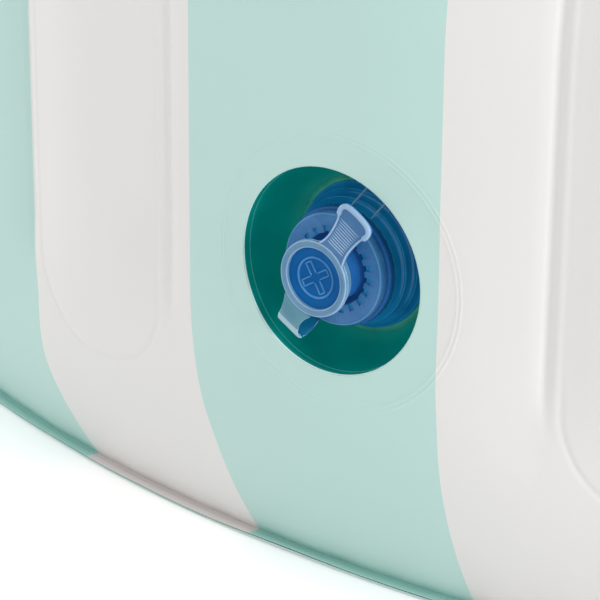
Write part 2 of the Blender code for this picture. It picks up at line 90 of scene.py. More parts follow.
# Valve, in metres along and round its own axis
valve_height = 0.147
mouth_radius = 0.042
weld_rings = (0.0549, 0.0568)
weld_ring_shift = 0.003
pocket_flange = 0.0574
bowl_floor = 0.0302
bowl_power = 2.4
cup_film = 0.001
neck_height = 0.015
tab_angle = math.radians(55.5)
strap_angle = math.radians(238.5)
tab_top = 0.0352
ring_notches = 20

drain_place = 0.465
drain_bore = 0.01


# Meshes

def smooth_step(share):
    share = np.clip(share, 0, 1)
    return share * share * (3 - 2 * share)


def bell(distance, spread):
    return np.exp(-(distance / spread) ** 2)


def finish_mesh(name, bm, material, sharp=40):
    """Turn a bmesh into a shown piece with outward faces and smooth shading up to an angle."""
    bmesh.ops.recalc_face_normals(bm, faces=bm.faces)
    mesh = bpy.data.meshes.new(name)
    bm.to_mesh(mesh)
    bm.free()
    mesh.shade_smooth()
    mesh.set_sharp_from_angle(angle=math.radians(sharp))
    mesh.materials.append(material)
    made = bpy.data.objects.new(name, mesh)
    bpy.context.scene.collection.objects.link(made)
    return made


def from_arrays(name, points, faces, material, sharp=40):
    mesh = bpy.data.meshes.new(name)
    mesh.from_pydata([tuple(point) for point in points], [], faces)
    bm = bmesh.new()
    bm.from_mesh(mesh)
    bpy.data.meshes.remove(mesh)
    return finish_mesh(name, bm, material, sharp)


def eased(outline, ease, steps=3):
    """Round the corners of a closed outline; points on the axis stay."""
    rounded = []
    for i, point in enumerate(outline):
        here = Vector(point)
        if here.x == 0:
            rounded.append(tuple(here))
            continue
        back = Vector(outline[i - 1]) - here
        on = Vector(outline[(i + 1) % len(outline)]) - here
        cut = min(ease, back.length * 0.45, on.length * 0.45)
        start = here + back.normalized() * cut
        end = here + on.normalized() * cut
        for step in range(steps + 1):
            t = step / steps
            rounded.append(tuple(start * (1 - t) ** 2 + here * (2 * t * (1 - t)) + end * t ** 2))
    return rounded


def around(count):
    """Even bearings of a full round."""
    return [2 * math.pi * k / count for k in range(count)]


def circle(radius, height, count=96):
    return [(radius * math.cos(a), radius * math.sin(a), height) for a in around(count)]


def turned(outline, steps=96):
    """Spin a closed outline of (radius, height) round local Z."""
    bm = bmesh.new()
    dots = [bm.verts.new((radius, 0, height)) for radius, height in outline]
    open_run = outline[0][0] == 0
    pairs = list(zip(dots, dots[1:] if open_run else dots[1:] + dots[:1]))
    edges = [bm.edges.new(pair) for pair in pairs]
    bmesh.ops.spin(bm, geom=dots + edges, axis=(0, 0, 1), cent=(0, 0, 0), angle=2 * math.pi, steps=steps,
                   use_merge=True)
    bmesh.ops.remove_doubles(bm, verts=bm.verts, dist=1e-6)
    return bm


def raised(outline, low, high):
    """Raise a flat outline from one height to another."""
    bm = bmesh.new()
    base = bm.faces.new([bm.verts.new((x, y, low)) for x, y in outline])
    moved = bmesh.ops.extrude_face_region(bm, geom=[base])["geom"]
    tops = [item for item in moved if isinstance(item, bmesh.types.BMVert)]
    bmesh.ops.translate(bm, verts=tops, vec=(0, 0, high - low))
    return bm


def join_rings(bm, rings, closed=False):
    """Skin over a run of rings of points; an open run gets its two ends closed."""
    for here, there in zip(rings, rings[1:] + rings[:1] if closed else rings[1:]):
        for corners in zip(here, there, there[1:] + there[:1], here[1:] + here[:1]):
            bm.faces.new(corners)
    if not closed:
        bm.faces.new(rings[0])
        bm.faces.new(rings[-1])
    return bm


def tube(points, radius, sides=10):
    """Sweep a round section along a run of points, drawn in at both ends."""
    bm = bmesh.new()
    points = [Vector(point) for point in points]
    last = len(points) - 1
    rings = []
    for i, point in enumerate(points):
        along = (points[min(i + 1, last)] - points[max(i - 1, 0)]).normalized()
        side = along.cross(Vector((0, 0, 1)))
        side = side.normalized() if side.length > 1e-6 else Vector((1, 0, 0))
        over = side.cross(along)
        size = radius * (0.55 if i in (0, last) else 1)
        rings.append([bm.verts.new(point + side * (size * math.cos(a)) + over * (size * math.sin(a)))
                      for a in around(sides)])
    return join_rings(bm, rings)


def hoop(points, radius, sides=6):
    """Sweep a round section along a closed run of points round local Z."""
    bm = bmesh.new()
    up = Vector((0, 0, radius))
    rings = []
    for point in map(Vector, points):
        out = Vector((point.x, point.y, 0)).normalized() * radius
        rings.append([bm.verts.new(point + out * math.cos(a) + up * math.sin(a)) for a in around(sides)])
    return join_rings(bm, rings, closed=True)


def straight_run(corners, steps):
    """Points along straight stretches from corner to corner, with each stretch's number of steps."""
    corners = [Vector(corner) for corner in corners]
    run = corners[:1]
    for here, there, count in zip(corners, corners[1:], steps):
        run += [here.lerp(there, step / count) for step in range(1, count + 1)]
    return run


def smooth_run(points, each=6):
    """A curve through the given points, with even steps between each two."""
    points = [np.array(point, float) for point in points]
    padded = [2 * points[0] - points[1]] + points + [2 * points[-1] - points[-2]]
    run = []
    for a, b, c, d in zip(padded, padded[1:], padded[2:], padded[3:]):
        for step in range(each):
            t = step / each
            run.append(0.5 * (2 * b + (c - a) * t + (2 * a - 5 * b + 4 * c - d) * t ** 2
                              + (3 * b - a - 3 * c + d) * t ** 3))
    return run + [points[-1]]


def soften(piece, width, segments=2):
    """Round a piece's sharp edges."""
    step = piece.modifiers.new("soft_edges", "BEVEL")
    step.width = width
    step.segments = segments
    step.limit_method = "ANGLE"
    step.angle_limit = math.radians(35)
    step.harden_normals = False
    return piece


# Materials

def add(tree, kind, inputs=None, **settings):
    """Add a node, set or link its inputs and its settings."""
    made = tree.nodes.new("ShaderNode" + kind)
    for setting, value in settings.items():
        setattr(made, setting, value)
    for socket, value in (inputs or {}).items():
        if isinstance(value, bpy.types.NodeSocket):
            tree.links.new(value, made.inputs[socket])
        else:
            made.inputs[socket].default_value = value
    return made


def ramp(tree, value, low, high, first=0.0, last=1.0):
    """A value that runs from first to last while another goes from low to high."""
    return add(tree, "MapRange", {"Value": value, "From Min": low, "From Max": high, "To Min": first,
                                  "To Max": last}).outputs["Result"]


def new_group(name, inputs, outputs):
    tree = bpy.data.node_groups.new(name, "ShaderNodeTree")
    for socket, value in inputs.items():
        made = tree.interface.new_socket(name=socket, in_out="INPUT", socket_type="NodeSocketFloat")
        made.default_value = value
    for socket in outputs:
        tree.interface.new_socket(name=socket, in_out="OUTPUT", socket_type="NodeSocketFloat")
    return tree, tree.nodes.new("NodeGroupInput"), tree.nodes.new("NodeGroupOutput")


def stripes_group():
    """Mask of the upright mint stripes by bearing round the pool; the grooves draw a stripe's edge in."""
    sizes = {"Pairs": 21, "Turn": 0, "Mint Share": 0.5, "Radius": 1, "Beam Pitch": 0.3, "First Beam": 0}
    tree, given, result = new_group("upright_stripes", sizes, ["Mint", "Weld", "Pad Line"])
    place = add(tree, "TexCoord")
    split = add(tree, "SeparateXYZ", {0: place.outputs["Object"]})

    def maths(operation, *values):
        return add(tree, "Math", dict(enumerate(values)), operation=operation).outputs[0]

    bearing = maths("ARCTAN2", split.outputs["X"], maths("MULTIPLY", split.outputs["Y"], -1.0))
    from_beam = maths("SUBTRACT", bearing, given.outputs["First Beam"])
    beams = maths("DIVIDE", from_beam, given.outputs["Beam Pitch"])
    off_beam = maths("SUBTRACT", maths("FRACT", maths("ADD", beams, 20.5)), 0.5)
    arc = maths("MULTIPLY", maths("MULTIPLY", off_beam, given.outputs["Beam Pitch"]), given.outputs["Radius"])
    across = maths("ABSOLUTE", arc)
    edge = panel_half_width + groove_width
    rising = ramp(tree, across, panel_half_width, edge)
    beyond = maths("MAXIMUM", maths("SUBTRACT", across, edge), 0.0)
    fade = maths("EXPONENT", maths("DIVIDE", beyond, -0.012))
    low = maths("MINIMUM", split.outputs["Z"], maths("SUBTRACT", seam_height, split.outputs["Z"]))
    held = add(tree, "MapRange", {"Value": low, "From Min": 0.045, "From Max": 0.1},
               interpolation_type="SMOOTHSTEP")
    drawn = maths("MULTIPLY", maths("MULTIPLY", rising, fade), held.outputs["Result"])
    signed = maths("MULTIPLY", maths("MULTIPLY", maths("SIGN", arc), drawn), stripe_draw)
    printed = maths("ADD", bearing, maths("DIVIDE", signed, given.outputs["Radius"]))
    turns = maths("DIVIDE", maths("SUBTRACT", printed, given.outputs["Turn"]), 2 * math.pi)
    share = given.outputs["Mint Share"]
    pairs = maths("ADD", maths("MULTIPLY_ADD", turns, given.outputs["Pairs"], 50.0), share)
    inside = maths("LESS_THAN", maths("FRACT", pairs), share)
    # Seam Shade: 1 within about 1 mm of the foot and head seams, fading out by 6 mm, and 1 above the head
    # seam; a painted shade for the creases at the seams.
    weld = ramp(tree, low, 0.006, 0.0012)
    from_end = maths("MINIMUM", split.outputs["Z"],
                     maths("SUBTRACT", seam_height + wall_foot + panel_rise, split.outputs["Z"]))
    reach = maths("MAXIMUM", maths("SUBTRACT", panel_end + panel_half_width, from_end), 0.0)
    squares = maths("ADD", maths("MULTIPLY", across, across), maths("MULTIPLY", reach, reach))
    off = maths("DIVIDE", maths("SUBTRACT", maths("SQRT", squares), panel_half_width), pad_line_width)
    ridge = maths("EXPONENT", maths("MULTIPLY", maths("MULTIPLY", off, off), -1.0))
    fading = ramp(tree, from_end, groove_low, groove_full, 1.0, 0.25)
    starting = ramp(tree, from_end, pad_line_start, pad_line_full)
    strength = maths("MULTIPLY", fading, starting)
    tree.links.new(maths("MULTIPLY", ridge, strength), result.inputs["Pad Line"])
    tree.links.new(inside, result.inputs["Mint"])
    tree.links.new(weld, result.inputs["Weld"])
    return tree


def noise_group(name, sizes, noises):
    """Noises that each have a size of their own: a fine one for the height, a slow one for the tone."""
    tree, given, result = new_group(name, sizes, noises)
    place = add(tree, "TexCoord")
    for size, (output, finish) in zip(sizes, noises.items()):
        noise = add(tree, "TexNoise", {"Vector": place.outputs["Object"], **finish,
                                       "Scale": given.outputs[size]})
        tree.links.new(noise.outputs[0], result.inputs[output])
    return tree


def new_material(name, sockets):
    """A material whose shader has these plain values on its sockets."""
    material = bpy.data.materials.new(name)
    material.use_nodes = True
    shader = material.node_tree.nodes["Principled BSDF"]
    for socket, value in sockets.items():
        shader.inputs[socket].default_value = value
    return material, material.node_tree, shader


def link(tree, output, shader, socket):
    tree.links.new(output, shader.inputs[socket])


def mix(tree, factor, *colours):
    """Mix two colours, each a socket or a plain colour."""
    first, second = [c if isinstance(c, bpy.types.NodeSocket) else (*c, 1) for c in colours]
    return add(tree, "Mix", {"Factor": factor, "A": first, "B": second}, data_type="RGBA").outputs["Result"]


def ramp_mix(tree, factor, low, high, first, second):
    """Mix two colours as a value goes from low to high."""
    return mix(tree, ramp(tree, factor, low, high), first, second)


def film_material(name, first, second, roughness, radius=None):
    """Satin film, in one colour or, at a given radius, in upright stripes that turn darker and more saturated
    near the foot and head seams, a painted shade for the creases there, which also covers the whole crown
    above the head seam.
    """
    material, tree, shader = new_material(name, {"Roughness": roughness, "Specular IOR Level": 0.3})
    skin = add(tree, "Group", node_tree=film_grain)
    cloud = skin.outputs["Cloud"]
    colour = ramp_mix(tree, cloud, 0.3, 0.7, [c * 0.985 for c in first], first)
    bump = add(tree, "Bump", {"Strength": 0.35, "Distance": 0.00004, "Height": skin.outputs["Height"]})
    if radius:
        bands = add(tree, "Group", {"Pairs": stripe_pairs, "Turn": stripe_turn, "Mint Share": mint_share,
                                    "Radius": radius, "Beam Pitch": beam_pitch, "First Beam": first_beam},
                    node_tree=stripes_mask)
        darker = ramp_mix(tree, cloud, 0.3, 0.7, [c * 0.98 for c in second], second)
        # Painted shade: near the seams the stripes take darker, more saturated colours.
        cream_bands = mix(tree, bands.outputs["Weld"], colour, crease_shade_cream)
        mint_bands = mix(tree, bands.outputs["Weld"], darker, crease_shade_mint)
        colour = mix(tree, bands.outputs["Mint"], cream_bands, mint_bands)
        bump = add(tree, "Bump", {"Strength": 1.0, "Distance": 0.0003, "Height": bands.outputs["Pad Line"],
                                  "Normal": bump.outputs["Normal"]}, invert=True)
    link(tree, colour, shader, "Base Color")
    link(tree, ramp(tree, cloud, 0.3, 0.7, roughness - 0.03, roughness + 0.04), shader, "Roughness")
    link(tree, bump.outputs["Normal"], shader, "Normal")
    return material


def vinyl(name, first, second, roughness, glow=0.0, sheen=0.0, shine=0.22):
    """Soft moulded vinyl with haze and flow marks; glow is painted light, an emission in the vinyl's own
    colour that stands in for light coming through it from behind.
    """
    material, tree, shader = new_material(name, {
        "Roughness": roughness, "IOR": 1.45, "Specular IOR Level": shine, "Emission Strength": glow,
        "Sheen Weight": sheen, "Sheen Roughness": 0.35, "Sheen Tint": (0.72, 0.86, 1, 1)})
    skin = add(tree, "Group", node_tree=moulded_vinyl)
    haze = skin.outputs["Haze"]
    colour = ramp_mix(tree, haze, 0.35, 0.65, first, second)
    link(tree, colour, shader, "Base Color")
    # Painted glow: the vinyl's own colour is given out as light.
    if glow:
        link(tree, colour, shader, "Emission Color")
    link(tree, ramp(tree, haze, 0.3, 0.7, roughness * 0.85, roughness * 1.2), shader, "Roughness")
    bump = add(tree, "Bump", {"Strength": 0.4, "Distance": 0.00006, "Height": skin.outputs["Height"]})
    link(tree, bump.outputs["Normal"], shader, "Normal")
    return material


def cup_material():
    """Green film with a painted glow, an emission in its own colour that stands in for light coming through
    it, and paler just inside the mouth, a painted light where light comes in at the opening.
    """
    material, tree, shader = new_material("green_film", {"Specular IOR Level": 0.08, "Roughness": 0.4,
                                                         "Emission Strength": 0.2})
    skin = add(tree, "Group", node_tree=moulded_vinyl)
    place = add(tree, "TexCoord")
    split = add(tree, "SeparateXYZ", {0: place.outputs["Object"]})
    deep = ramp_mix(tree, skin.outputs["Haze"], 0.3, 0.7, (0.0, 0.192, 0.163), (0.0, 0.22, 0.188))
    # Painted light: the film turns paler towards the mouth's opening.
    mouth_light = ramp(tree, split.outputs["Y"], -0.7606, -0.7616, 0.0, 0.32)
    colour = mix(tree, mouth_light, deep, (0.05, 0.34, 0.34))
    link(tree, colour, shader, "Base Color")
    link(tree, colour, shader, "Emission Color")
    bump = add(tree, "Bump", {"Strength": 0.3, "Distance": 0.00008, "Height": skin.outputs["Height"]})
    link(tree, bump.outputs["Normal"], shader, "Normal")
    return material


stripes_mask = stripes_group()
film_grain = noise_group("film_grain", {"Grain Size": 900, "Cloud Size": 9}, {
    "Height": {"Detail": 2.0, "Roughness": 0.6}, "Cloud": {"Detail": 3.0, "Roughness": 0.5}})
moulded_vinyl = noise_group("moulded_vinyl", {"Mark Size": 220, "Haze Size": 70}, {
    "Height": {"Detail": 3.0, "Roughness": 0.55, "Distortion": 0.6}, "Haze": {"Detail": 2.0}})

cream = (0.77, 0.754, 0.738)
mint = (0.498, 0.698, 0.656)
# Painted shade: darker, more saturated stripe colours for the creases at the seams.
crease_shade_cream = (0.7, 0.665, 0.65)
crease_shade_mint = (0.37, 0.635, 0.585)
striped_film = film_material("striped_film", cream, mint, 0.42, belly)
striped_lining = film_material("striped_film_inside", cream, mint, 0.42, inner_belly)
mint_film = film_material("mint_film", mint, mint, 0.46)
beam_film = film_material("beam_film", (0.72, 0.76, 0.76), mint, 0.4)
# Each glow below, like the green film's emission, is painted light: the material's own colour given out as
# light.
green_film = cup_material()
# Painted light: the mouth's lip bead is paler than the wall's film and glows, a lit edge along the mouth.
lip_painted_light_film = vinyl("lip_painted_light_film", (0.62, 0.84, 0.8), (0.68, 0.88, 0.85), 0.35, glow=0.16)
pale_weld = vinyl("pale_green_weld", (0.02, 0.24, 0.19), (0.05, 0.32, 0.24), 0.3, glow=0.15)
hem_line = vinyl("pocket_fold_line", (0.03, 0.28, 0.26), (0.05, 0.32, 0.3), 0.3, glow=0.1)
blue_vinyl = vinyl("blue_vinyl", (0.003, 0.1, 0.25), (0.006, 0.135, 0.32), 0.17, glow=0.3, shine=0.4)
deep_blue = vinyl("deep_blue_vinyl", (0.01, 0.075, 0.24), (0.014, 0.1, 0.31), 0.22, glow=0.25)
# Painted light: a brighter blue with a strong glow for the step seen in the grip ring's notches, where shade
# falls.
notch_light_blue = vinyl("notch_painted_light_vinyl", (0.008, 0.13, 0.31), (0.015, 0.17, 0.37), 0.22, glow=0.5)
# Painted highlight: a lighter blue for the beads on the neck's steps.
neck_highlight_blue = vinyl("neck_bead_painted_highlight", (0.005, 0.14, 0.3), (0.01, 0.18, 0.36), 0.15, glow=0.25)
ring_vinyl = vinyl("ring_vinyl", (0.03, 0.14, 0.33), (0.055, 0.18, 0.39), 0.26, glow=0.14, sheen=0.08)
# Painted highlight: a paler blue for the bead along the grip ring's top edge.
ring_highlight_blue = vinyl("ring_edge_painted_highlight", (0.06, 0.2, 0.42), (0.1, 0.26, 0.48), 0.2, glow=0.15)
frosted_vinyl = vinyl("frosted_vinyl", (0.095, 0.22, 0.36), (0.135, 0.27, 0.41), 0.3, glow=0.06, sheen=0.1)
# Painted highlight: a pale blue for the beads and ribs on the tab and the cap's rim.
pale_highlight_vinyl = vinyl("pale_highlight_vinyl", (0.24, 0.37, 0.55), (0.31, 0.44, 0.61), 0.26, glow=0.06)
clear_window = vinyl("clear_window", (0.001, 0.08, 0.27), (0.003, 0.1, 0.32), 0.34, glow=0.1, shine=0.08)
# Painted highlight: the cap's ring and cross are lighter than the window.
mark_vinyl = vinyl("mark_vinyl", (0.045, 0.2, 0.46), (0.07, 0.26, 0.55), 0.24)
tab_vinyl = vinyl("tab_vinyl", (0.05, 0.155, 0.33), (0.08, 0.19, 0.38), 0.28, glow=0.06)
strap_vinyl = vinyl("strap_vinyl", (0.075, 0.22, 0.3), (0.11, 0.26, 0.34), 0.26, glow=0.06, sheen=0.1)
# Painted highlight: a paler blue for the strap's fold.
fold_highlight_vinyl = vinyl("fold_highlight_vinyl", (0.22, 0.36, 0.45), (0.3, 0.44, 0.53), 0.2, glow=0.12)
# Painted shade: a darker blue for the strap's return leg, which also glows.
loop_shade_vinyl = vinyl("loop_shade_vinyl", (0.001, 0.08, 0.18), (0.005, 0.12, 0.23), 0.18, glow=0.15)
seal_rubber = vinyl("seal_rubber", (0.03, 0.035, 0.04), (0.045, 0.05, 0.055), 0.55)
blue_rubber = vinyl("blue_rubber", (0.004, 0.06, 0.16), (0.006, 0.08, 0.2), 0.45, glow=0.2)
drain_vinyl = vinyl("drain_vinyl", (0.45, 0.68, 0.64), (0.5, 0.72, 0.68), 0.3)


# Walls, crown and floor

def lie_flat(bearing):
    """How far the seam's fin lifts at its tip, a slow wave round the pool."""
    wave = np.cos(23 * bearing + 0.8) + 0.7 * np.cos(37 * bearing + 2.1) + 0.5 * np.cos(61 * bearing + 4.0)
    return 0.00028 * (wave + 2.2)


def pucker(bearing, from_seam):
    wave = np.cos(137 * bearing + 0.7) + 0.6 * np.cos(211 * bearing + 2.1) + 0.5 * np.cos(83 * bearing + 4.2)
    return 0.00016 * wave * bell(from_seam, 0.022)


def panel_relief(side, bearing, height):
    """Outward relief of a wall: bays that swell between the panels, and a pad and a groove at each panel."""
    radius = belly if side > 0 else inner_belly
    turns = np.round((bearing - first_beam) / beam_pitch)
    across = np.abs(bearing - first_beam - turns * beam_pitch) * radius
    from_end = np.minimum(height, seam_height + wall_foot + panel_rise - height)
    off = np.hypot(across, np.maximum(panel_end + panel_half_width - from_end, 0)) - panel_half_width
    edge = panel_half_width + groove_width
    out = np.clip((across - edge) / (beam_pitch * radius / 2 - edge), 0, 1)
    bay = -bay_bow * (1 - out) ** 2 * smooth_step((from_end - 0.064) / 0.038)
    held = smooth_step((from_end - groove_low) / (groove_full - groove_low))
    place = np.abs(off - groove_place) / groove_reach
    groove = -groove_depth * held * (0.5 + 0.5 * np.cos(math.pi * np.clip(place, 0, 1)))
    inside = np.clip(-off / panel_half_width, 0, 1)
    firm = 0.12 + 0.88 * smooth_step((from_end - 0.08) / 0.06)
    pad = panel_swell[side] * (1 - (1 - inside) ** 2) * firm
    return bay + groove + pad


def mouth_relief(across, rise):
    """Weld beads round the mouth, and the stiff part inside them that lies a little deeper."""
    out = np.hypot(across - weld_ring_shift, rise)
    beads = 0.00012 * sum(bell(out - ring, 0.0004) for ring in weld_rings)
    dish = -0.0007 * (1 - smooth_step((out - 0.044) / 0.018))
    return beads + dish


def wall_face(side, bearing, height):
    """Radius of a wall's shown face: side is 1 for the outer wall and -1 for the inner one."""
    base = belly if side > 0 else inner_belly
    from_seam = np.minimum(height - wall_foot, seam_height - height)
    drawn = crease_draw * np.clip(1 - from_seam / draw_height, 0, 1) ** draw_power
    face = base + side * (panel_relief(side, bearing, height) + pucker(bearing, from_seam) - drawn)
    if side > 0:
        across = np.arcsin(np.clip(np.sin(bearing), -1, 1)) * base + 10 * (np.cos(bearing) < 0)
        face = face + mouth_relief(across, height - valve_height)
    return face


def at_bearing(bearing, radius, height):
    bearing, radius, height = np.broadcast_arrays(bearing, radius, height)
    return np.stack([radius * np.sin(bearing), -radius * np.cos(bearing), height], axis=-1)


def wall_columns(side):
    """Bearings of a wall's columns: close across the panels and grooves, and close in the valve's bay."""
    base = belly if side > 0 else inner_belly
    edge = panel_half_width + groove_width
    columns = []
    for beam in range(beam_count):
        middle = first_beam + (beam - 1) * beam_pitch
        bay_count = 36 if side > 0 and beam == 0 else 10
        across = np.concatenate([
            np.linspace(-panel_half_width, panel_half_width, 11)[:-1],
            np.linspace(panel_half_width, edge, 9)[:-1],
            np.linspace(edge, beam_pitch * base - edge, bay_count)[:-1],
            np.linspace(beam_pitch * base - edge, beam_pitch * base - panel_half_width, 9)[:-1]])
        columns.append(middle + across / base)
    return np.concatenate(columns)


def wall_rows():
    """Heights of a wall's rows, close where the panels end and the grooves fade."""
    low = wall_foot + film
    half = np.concatenate([low + (0.058 - low) * np.linspace(0, 1, 9)[:-1] ** 1.25,
                           np.linspace(0.058, groove_full, 18)[:-1],
                           np.linspace(groove_full, panel_middle, 5)[:-1]])
    return np.concatenate([half, [panel_middle], (seam_height + wall_foot - half)[::-1]])


def weld_fin(shares, bearings):
    """A weld fin's reach, ribs and lift, in rows from its tip inwards."""
    reach = fin_width * np.array(shares)
    rib = 0.0003 * bell(reach - 0.6 * fin_width, 0.0005)
    rib[0] = -film * 0.5
    return reach[:, None], rib[:, None], np.outer((reach / fin_width) ** 2, lie_flat(bearings))


def shell_faces(rows, count, gap=None):
    """Faces of a closed shell between two grids of points, each row a full round, without the gap's."""
    layer = rows * count
    faces = []
    for row in range(rows):
        for column in range(count):
            a, b = row * count + column, row * count + (column + 1) % count
            c, d = b + count, a + count
            if row in (0, rows - 1):
                faces.append((a, b, layer + b, layer + a))
            if row < rows - 1 and (gap is None or not gap[row, column]):
                faces.append((a, b, c, d))
                faces.append((layer + a, layer + d, layer + c, layer + b))
    return faces


def shell(name, outer, back, material, sharp=40):
    points = [*outer.reshape(-1, 3), *back.reshape(-1, 3)]
    return from_arrays(name, points, shell_faces(*outer.shape[:2]), material, sharp)


def make_wall(name, side, material):
    """One wall film with a weld fin at its foot and at its head; the outer one has the mouth."""
    bearings = wall_columns(side)
    heights = wall_rows()
    reach, rib, lift = weld_fin([1, 0.96, 0.72, 0.6, 0.48, 0.2], bearings)
    crease = (belly if side > 0 else inner_belly) - side * crease_draw
    head = seam_height + wall_foot
    b = bearings[None, :]
    z = heights[:, None]
    face = wall_face(side, b, z)
    fin_radius = crease + side * reach
    foot_out = at_bearing(b, fin_radius, wall_foot + film + rib + lift)
    foot_back = at_bearing(b, fin_radius, wall_foot + weld_gap + lift)
    wall_back = at_bearing(b, face - side * film, np.clip(z, wall_foot + weld_gap, seam_height - weld_gap))
    head_out = at_bearing(b, fin_radius, head - (wall_foot + film + rib - 0.4 * lift))[::-1]
    head_back = at_bearing(b, fin_radius, head - (wall_foot + weld_gap - 0.4 * lift))[::-1]
    outer = np.concatenate([foot_out, at_bearing(b, face, z), head_out])
    back = np.concatenate([foot_back, wall_back, head_back])
    if side < 0:
        return shell(name, outer, back, material)
    rows, count = outer.shape[:2]
    across = bearings * belly
    first = np.flatnonzero(across < -0.064)[-1]
    last = np.flatnonzero(across > 0.0655)[0]
    bottom = np.flatnonzero(heights < valve_height - 0.064)[-1] + len(reach)
    top = np.flatnonzero(heights > valve_height + 0.064)[0] + len(reach)
    open_block = np.zeros((rows - 1, count), bool)
    open_block[bottom:top, first:last] = True
    points = [*outer.reshape(-1, 3), *back.reshape(-1, 3)]
    faces = shell_faces(rows, count, open_block)
    loop = [bottom * count + column for column in range(first, last)]
    loop += [row * count + last for row in range(bottom, top)]
    loop += [top * count + column for column in range(last, first, -1)]
    loop += [row * count + first for row in range(top, bottom, -1)]
    cut_mouth(points, faces, loop, rows * count)
    return from_arrays(name, points, faces, material)


def cut_mouth(points, faces, loop, layer):
    """Fill the open block round the valve with rings that end at the mouth's lip."""
    spots = np.array([(math.atan2(points[i][0], -points[i][1]) * belly, points[i][2] - valve_height)
                      for i in loop])
    turns = np.unwrap(np.arctan2(spots[:, 1], spots[:, 0]))
    even = turns.mean() + (np.arange(len(loop)) - (len(loop) - 1) / 2) * 2 * math.pi / len(loop)
    outs = [0.06, 0.0588, 0.058, 0.0574, 0.0571, 0.0568, 0.0565, 0.0561, 0.0556, 0.0552, 0.0549, 0.0546,
            0.0542, 0.0535, 0.052, 0.05, 0.0478, 0.0458, 0.0442, 0.0432, 0.0426, 0.0423, 0.0421,
            mouth_radius]
    sinks = [0] * (len(outs) - 3) + [0.00004, 0.00012, 0.00028]
    last_rings = []
    for back in (0, 1):
        ring = [i + back * layer for i in loop]
        for out, sink in zip(outs, sinks):
            if back and sink:
                continue
            share = smooth_step((0.0605 - out) / 0.012)
            turn = (1 - share) * turns + share * even
            shift = weld_ring_shift * smooth_step((out - 0.044) / 0.009)
            bearing = (out * np.cos(turn) + shift) / belly
            height = out * np.sin(turn) + valve_height
            radius = wall_face(1, bearing, height) - (film * 1.4 if back else sink)
            start = len(points)
            points.extend(at_bearing(bearing, radius, height))
            new = list(range(start, start + len(loop)))
            for a, b, c, d in zip(ring, ring[1:] + ring[:1], new[1:] + new[:1], new):
                faces.append((a, d, c, b) if back else (a, b, c, d))
            ring = new
        last_rings.append(ring)
    outer, inner = last_rings
    for a, b, c, d in zip(outer, outer[1:] + outer[:1], inner[1:] + inner[:1], inner):
        faces.append((a, b, c, d))


def make_crown(material):
    """Crowned top film, drawn down a little where the beams hold the seams."""
    bearings = np.array(around(540))
    outer_seam = belly - crease_draw
    inner_seam = inner_belly + crease_draw
    middle = (outer_seam + inner_seam) / 2
    half = (outer_seam - inner_seam) / 2
    arc_radius = (half ** 2 + crown_rise ** 2) / (2 * crown_rise)
    arc_half = math.asin(min(1, half / arc_radius))
    foot = seam_height + 0.0003
    leans = arc_half * np.linspace(1, -1, 31)[:, None]
    turns = np.round((bearings - first_beam) / beam_pitch)
    across = (bearings - first_beam - turns * beam_pitch) * middle
    edge = np.abs(leans / arc_half) ** 3
    b = bearings[None, :]
    swell = pucker(b, half * (1 - edge) * 1.2) * 1.2 - 0.0016 * bell(across, 0.034) * edge
    reach, rib, lift = weld_fin([1, 0.96, 0.8, 0.68, 0.6, 0.52, 0.36, 0.16], bearings)
    grids = []
    for inset, rise in ((0, film + rib), (film, 0 * rib)):
        arc = arc_radius + swell - inset
        height = np.maximum(foot + crown_rise - arc_radius + arc * np.cos(leans), foot + film - inset)
        fin_height = foot + rise + 0.4 * lift
        grids.append(np.concatenate([at_bearing(b, outer_seam + reach, fin_height),
                                     at_bearing(b, middle + arc * np.sin(leans), height),
                                     at_bearing(b, inner_seam - reach, fin_height)[::-1]]))
    return shell("crown_film", *grids, material)


